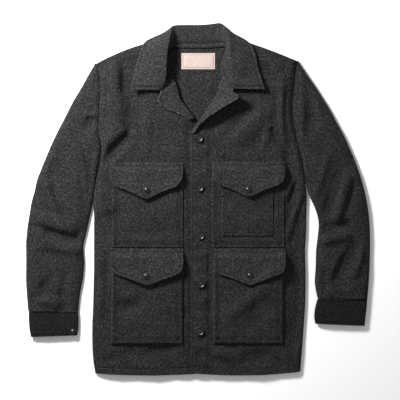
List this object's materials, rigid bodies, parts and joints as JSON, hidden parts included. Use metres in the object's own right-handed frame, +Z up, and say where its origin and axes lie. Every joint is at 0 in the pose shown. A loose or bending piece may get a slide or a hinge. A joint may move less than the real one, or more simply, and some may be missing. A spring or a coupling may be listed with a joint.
{
  "type": "mackinaw jacket",
  "caption": "Heavy wool mackinaw jacket laid flat: pointed collar and lapels, button front, four flapped patch pockets, cuffed sleeves.",
  "frame": {"origin": "centre of the bounding box on the surface the jacket lies on", "axes": "+X towards the wearer's left sleeve, +Y from hem to collar, +Z up out of the surface, fronts facing up"},
  "size_m": [0.806, 0.8237, 0.0315],
  "materials": {
    "wool": "charcoal melton wool, matt and slightly hairy",
    "wool_light": "the same wool where it catches more light",
    "horn": "dark polished button",
    "cotton": "plain woven tape"
  },
  "bodies": {
    "root": {"back": "wool", "front_right": "wool", "front_left": "wool", "sleeve_right_top": "wool", "sleeve_right_under": "wool", "sleeve_left_top": "wool", "sleeve_left_under": "wool", "cuff_right": "wool", "cuff_left": "wool", "collar": "wool_light", "lapel_right": "wool_light", "lapel_left": "wool_light", "pocket_chest_right": "wool", "pocket_chest_left": "wool", "pocket_chest_small": "wool", "pocket_lower_right": "wool", "pocket_lower_left": "wool", "flap_chest_right": "wool_light", "flap_chest_left": "wool_light", "flap_lower_right": "wool_light", "flap_lower_left": "wool_light", "button_1": "horn", "button_2": "horn", "button_3": "horn", "button_4": "horn", "button_5": "horn", "pocket_button_chest_right": "horn", "pocket_button_chest_left": "horn", "pocket_button_lower_right": "horn", "pocket_button_lower_left": "horn", "cuff_button_right": "horn", "label": "cotton"}
  },
  "joints": []
}
